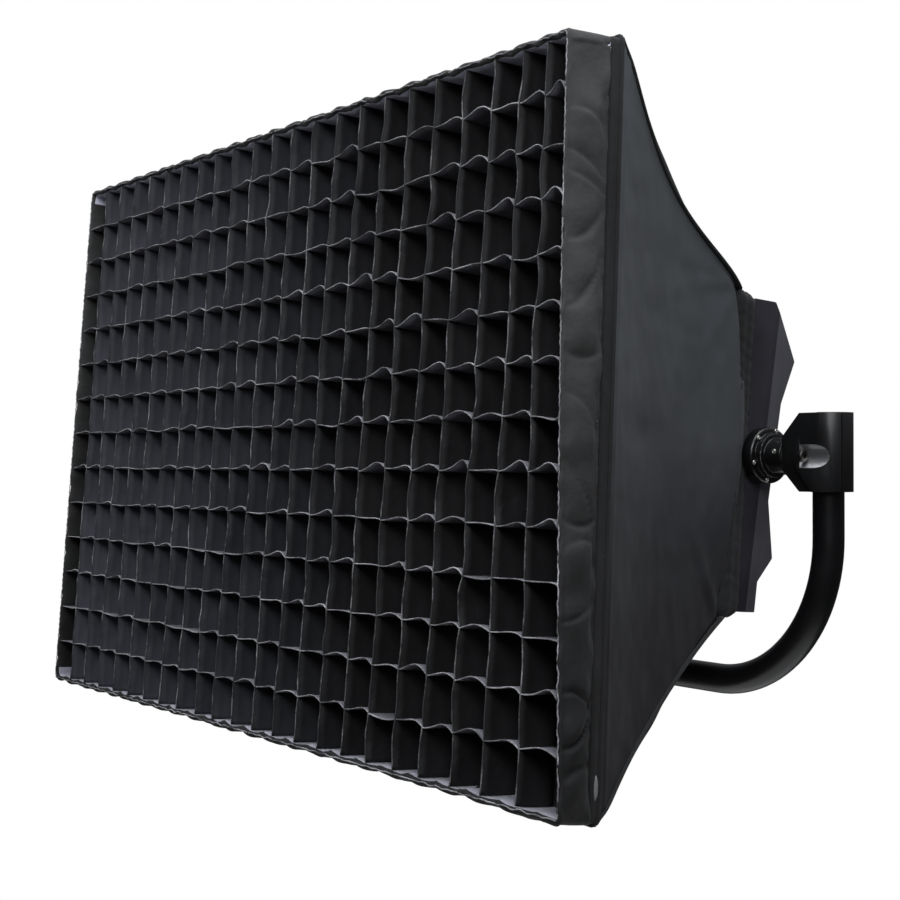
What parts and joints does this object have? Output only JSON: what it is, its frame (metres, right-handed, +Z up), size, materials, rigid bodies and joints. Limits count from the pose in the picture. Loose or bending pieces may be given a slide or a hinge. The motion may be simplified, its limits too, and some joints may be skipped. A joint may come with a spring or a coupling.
{
  "type": "softbox panel light",
  "caption": "Rectangular black fabric softbox with an egg-crate grid on a flat panel light, held at its sides by a tubular yoke that tilts.",
  "frame": {"origin": "centre of the stand spigot's lower end face", "axes": "+X to the light's right seen from in front of it, along the tilt axis; front of the softbox faces -Y; +Z up along the spigot"},
  "size_m": [1.164, 0.5833, 0.7674],
  "materials": {
    "shell_fabric": "satin coated nylon",
    "grid_fabric": "matte woven polyester",
    "diffusion_fabric": "matte translucent white",
    "yoke_paint": "satin black powder coat",
    "panel_paint": "fine textured charcoal paint",
    "bare_steel": "machined",
    "aluminium": "anodised",
    "black_plastic": "fine moulded texture",
    "rubber": "matte",
    "frosted_acrylic": "frosted",
    "led_board": "white solder mask",
    "circuit_board": "green solder mask",
    "display_glass": "glossy",
    "fibreglass": "satin"
  },
  "bodies": {
    "yoke": {"yoke_tube": "yoke_paint", "yoke_base_block": "yoke_paint", "stand_spigot": "bare_steel", "clamp_block_right": "yoke_paint", "clamp_block_left": "yoke_paint", "friction_washer_right": "rubber", "friction_washer_left": "rubber", "clamp_bolt": "bare_steel"},
    "head": {"front_bezel": "panel_paint", "diffuser_window": "frosted_acrylic", "led_board": "led_board", "heat_sink": "aluminium", "rear_cover_upper": "panel_paint", "rear_cover_lower": "panel_paint", "side_plate_right": "panel_paint", "side_plate_left": "panel_paint", "tilt_hub_right": "yoke_paint", "tilt_hub_left": "yoke_paint", "fan_frame_right": "black_plastic", "fan_frame_left": "black_plastic", "fan_guard_right": "yoke_paint", "fan_guard_left": "yoke_paint", "driver_housing": "panel_paint", "control_plate": "yoke_paint", "power_supply": "aluminium", "control_board": "circuit_board", "display": "display_glass", "power_inlet": "black_plastic", "data_socket_1": "bare_steel", "data_socket_2": "bare_steel", "catch_bracket": "yoke_paint", "shell_top": "shell_fabric", "shell_bottom": "shell_fabric", "shell_right": "shell_fabric", "shell_left": "shell_fabric", "corner_rod_top_right": "fibreglass", "corner_rod_top_left": "fibreglass", "corner_rod_bottom_right": "fibreglass", "corner_rod_bottom_left": "fibreglass", "mount_frame": "yoke_paint", "rear_collar": "grid_fabric", "inner_baffle": "diffusion_fabric", "front_lip": "grid_fabric", "front_diffuser": "diffusion_fabric", "grid_border": "grid_fabric", "grid_upright_strips": "grid_fabric", "grid_cross_strips": "grid_fabric"},
    "lock_lever": {"tilt_lock_lever": "black_plastic"},
    "fan_right": {"fan_rotor_right": "black_plastic"},
    "fan_left": {"fan_rotor_left": "black_plastic"},
    "button_body_1": {"button_1": "rubber"},
    "button_body_2": {"button_2": "rubber"},
    "button_body_3": {"button_3": "rubber"},
    "button_body_4": {"button_4": "rubber"},
    "encoder_stem_1": {"encoder_shaft_1": "bare_steel"},
    "encoder_stem_2": {"encoder_shaft_2": "bare_steel"},
    "encoder_dial_1": {"encoder_knob_1": "black_plastic"},
    "encoder_dial_2": {"encoder_knob_2": "black_plastic"},
    "rocker": {"power_rocker": "black_plastic"},
    "catch": {"catch_lever": "bare_steel"}
  },
  "joints": [
    {"name": "head_tilt", "type": "hinge", "parent": "yoke", "child": "head", "pos_m": [0, 0, 0.378], "axis": [-1, 0, 0], "range_deg": [-16, 85]},
    {"name": "lock_lever_turn", "type": "hinge", "parent": "yoke", "child": "lock_lever", "pos_m": [-0.452, -0.036, 0.378], "axis": [0, 1, 0], "range_deg": [0, 90]},
    {"name": "fan_right_spin", "type": "hinge", "parent": "head", "child": "fan_right", "pos_m": [0.215, 0.03536, 0.38123], "axis": [0, 0.9969, -0.0785], "continuous": true},
    {"name": "fan_left_spin", "type": "hinge", "parent": "head", "child": "fan_left", "pos_m": [-0.215, 0.03536, 0.38123], "axis": [0, 0.9969, -0.0785], "continuous": true},
    {"name": "button_1_press", "type": "slide", "parent": "head", "child": "button_body_1", "axis": [0, -0.9969, 0.0785], "range_m": [0, 0.0015], "stiffness_N_per_m": 400},
    {"name": "button_2_press", "type": "slide", "parent": "head", "child": "button_body_2", "axis": [0, -0.9969, 0.0785], "range_m": [0, 0.0015], "stiffness_N_per_m": 400},
    {"name": "button_3_press", "type": "slide", "parent": "head", "child": "button_body_3", "axis": [0, -0.9969, 0.0785], "range_m": [0, 0.0015], "stiffness_N_per_m": 400},
    {"name": "button_4_press", "type": "slide", "parent": "head", "child": "button_body_4", "axis": [0, -0.9969, 0.0785], "range_m": [0, 0.0015], "stiffness_N_per_m": 400},
    {"name": "encoder_1_press", "type": "slide", "parent": "head", "child": "encoder_stem_1", "axis": [0, -0.9969, 0.0785], "range_m": [0, 0.0006], "stiffness_N_per_m": 900},
    {"name": "encoder_2_press", "type": "slide", "parent": "head", "child": "encoder_stem_2", "axis": [0, -0.9969, 0.0785], "range_m": [0, 0.0006], "stiffness_N_per_m": 900},
    {"name": "encoder_1_turn", "type": "hinge", "parent": "encoder_stem_1", "child": "encoder_dial_1", "pos_m": [-0.078, 0.11485, 0.39705], "axis": [0, 0.9969, -0.0785], "continuous": true},
    {"name": "encoder_2_turn", "type": "hinge", "parent": "encoder_stem_2", "child": "encoder_dial_2", "pos_m": [0.078, 0.11485, 0.39705], "axis": [0, 0.9969, -0.0785], "continuous": true},
    {"name": "rocker_tip", "type": "hinge", "parent": "head", "child": "rocker", "pos_m": [0.118, 0.1042, 0.4019], "axis": [1, 0, 0], "range_deg": [0, 16]},
    {"name": "catch_lift", "type": "hinge", "parent": "head", "child": "catch", "pos_m": [0, 0.0083, 0.55991], "axis": [-1, 0, 0], "range_deg": [0, 20], "stiffness_Nm_per_rad": 0.03}
  ]
}
